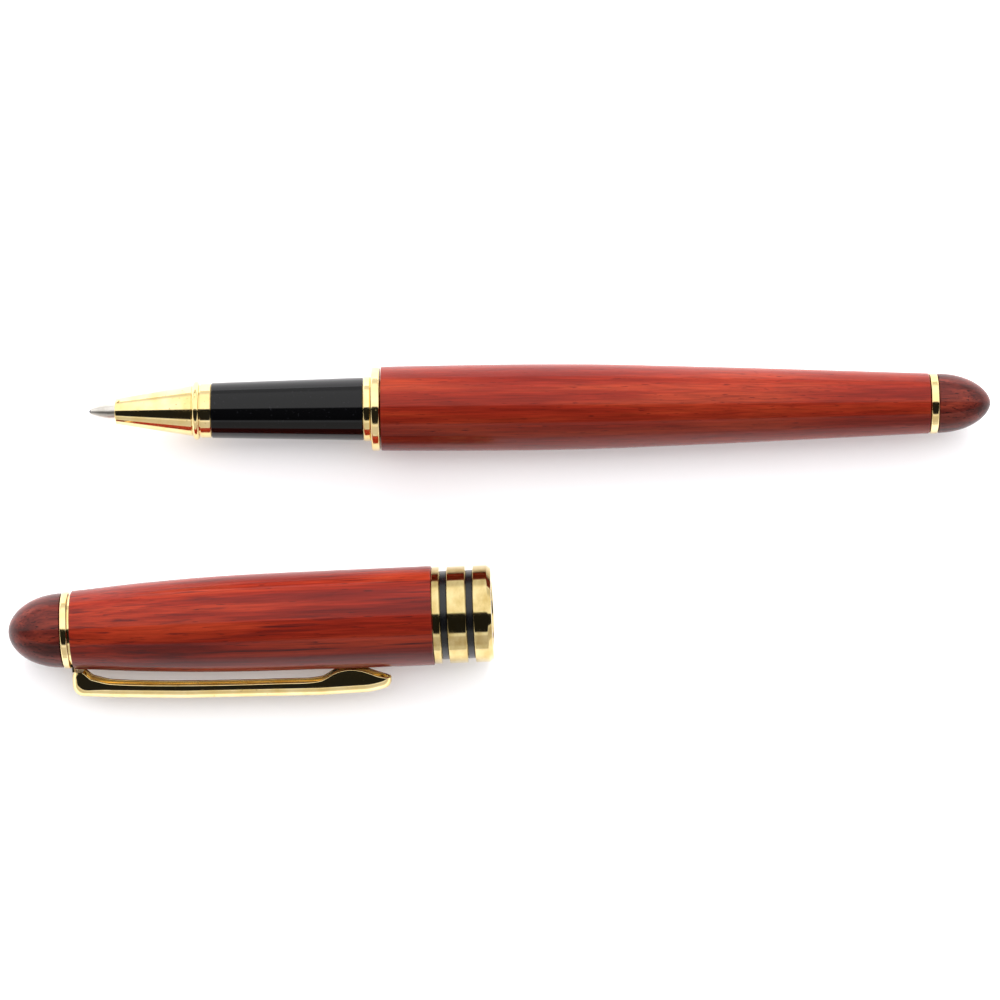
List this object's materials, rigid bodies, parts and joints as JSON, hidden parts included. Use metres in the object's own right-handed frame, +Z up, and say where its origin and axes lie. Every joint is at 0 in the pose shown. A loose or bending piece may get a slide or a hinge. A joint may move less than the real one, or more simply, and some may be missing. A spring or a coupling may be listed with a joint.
{
  "type": "capped rollerball pen",
  "caption": "Rollerball pen with turned wooden barrel and cap, domed ends, black grip, gold-coloured rings and a spring clip on the separate cap.",
  "frame": {"origin": "on the table surface, under the middle of the pen and cap as they lie side by side", "axes": "+X along the pen from its writing tip to its tail, +Y from the cap towards the pen, +Z up"},
  "size_m": [0.1366, 0.0462, 0.0142],
  "materials": {
    "barrel_wood": "turned rosewood under glossy lacquer",
    "cap_wood": "turned rosewood with darker streaks under glossy lacquer",
    "dark_wood": "dark brown lacquered wood",
    "gold_plate": "polished gold-coloured plating",
    "worn_gold": "gold-coloured plating with fine scratches",
    "black_lacquer": "glossy black",
    "black_plastic": "moulded black plastic",
    "nickel_silver": "turned nickel silver",
    "carbide": "ground and polished ball",
    "steel": "plain steel",
    "white_plastic": "moulded natural plastic",
    "ink_fibre": "bonded fibre soaked in ink",
    "brass": "turned brass, left bare inside"
  },
  "bodies": {
    "barrel": {"barrel_wood": "barrel_wood", "barrel_tube": "brass", "barrel_bush": "brass", "barrel_collar": "gold_plate", "barrel_spring": "steel", "tail_stud": "brass", "tail_ring": "gold_plate", "tail_finial": "dark_wood"},
    "refill": {"refill_tube": "steel", "refill_tip": "nickel_silver", "refill_feed": "white_plastic", "refill_wick": "ink_fibre", "refill_reservoir": "ink_fibre", "refill_end_plug": "white_plastic"},
    "ball": {"refill_ball": "carbide"},
    "section": {"nose_cone": "gold_plate", "grip_core": "brass", "grip_sleeve": "black_lacquer", "section_ring": "gold_plate"},
    "cap": {"cap_wood": "cap_wood", "cap_tube": "brass", "cap_liner": "black_plastic", "cap_mouth_band": "worn_gold", "cap_groove_ring_rear": "black_plastic", "cap_groove_ring_front": "black_plastic", "cap_top_ring": "gold_plate", "cap_stud": "brass", "cap_finial": "dark_wood", "clip_eye": "gold_plate"},
    "clip": {"clip": "gold_plate"}
  },
  "joints": [
    {"name": "refill_advance", "type": "slide", "parent": "barrel", "child": "refill", "axis": [-1, 0, 0], "range_m": [0, 0.0064], "deforming": ["barrel_spring"]},
    {"name": "section_unscrew", "type": "hinge", "parent": "refill", "child": "section", "pos_m": [-0.02685, 0.01711, 0.00599], "axis": [-1, 0, 0], "range_deg": [0, 2880.5]},
    {"name": "ball_roll", "type": "hinge", "parent": "refill", "child": "ball", "pos_m": [-0.0565, 0.01711, 0.00599], "axis": [0, 1, 0], "continuous": true},
    {"name": "cap_slide", "type": "slide", "parent": "barrel", "child": "cap", "axis": [-0.9995, -0.0305, 0], "range_m": [0, 0.0392]},
    {"name": "clip_lift", "type": "hinge", "parent": "cap", "child": "clip", "pos_m": [-0.05928, -0.01889, 0.00525], "axis": [0.0153, 0.1742, -0.9846], "range_deg": [0, 2.5], "stiffness_Nm_per_rad": 2}
  ],
  "couplings": [
    {"joint": "section_unscrew", "follows": "refill_advance", "rad_per_m": 7854}
  ]
}
